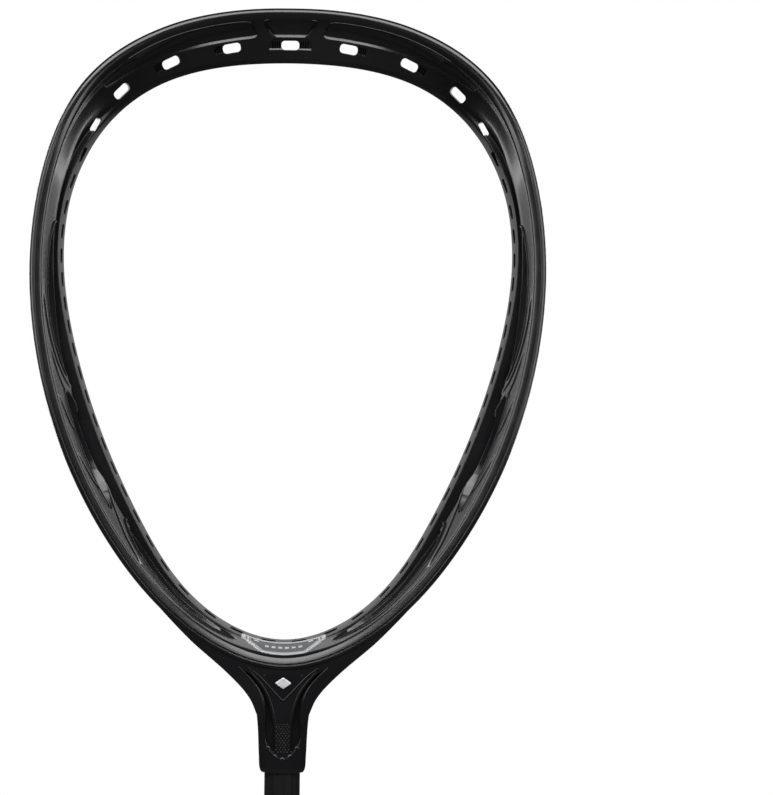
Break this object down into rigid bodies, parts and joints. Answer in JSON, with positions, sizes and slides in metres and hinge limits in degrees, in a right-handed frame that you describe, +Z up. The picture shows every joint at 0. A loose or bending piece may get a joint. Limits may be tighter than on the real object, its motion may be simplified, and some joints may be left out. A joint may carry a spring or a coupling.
{
  "type": "lacrosse stick",
  "caption": "Goalkeeper's lacrosse stick: wide unstrung one-piece plastic head with a rounded scoop, braced side walls and a string rail, on an octagonal metal shaft with a rubber end cap.",
  "frame": {"origin": "centre of the flat bottom of the end cap, on the shaft's axis", "axes": "+Z up the shaft to the scoop, -Y the open catching face of the head, +X the right side seen from the front"},
  "size_m": [0.321, 0.0538, 1.1851],
  "materials": {
    "head_plastic": "satin gloss moulded nylon",
    "label": "dark printed field with a silver border",
    "badge": "high gloss",
    "shaft_metal": "black anodised",
    "screw_steel": "black oxide",
    "cap_rubber": "matt"
  },
  "bodies": {
    "stick": {"head_frame": "head_plastic", "throat_label": "label", "throat_badge": "badge", "shaft_tube": "shaft_metal"},
    "screw": {"head_screw": "screw_steel"},
    "end_cap": {"butt_end_cap": "cap_rubber"}
  },
  "joints": [
    {"name": "head_screw_slide", "type": "slide", "parent": "stick", "child": "screw", "axis": [1, 0, 0], "range_m": [0, 0.012]},
    {"name": "end_cap_slide", "type": "slide", "parent": "stick", "child": "end_cap", "axis": [0, 0, -1], "range_m": [0, 0.028]}
  ]
}
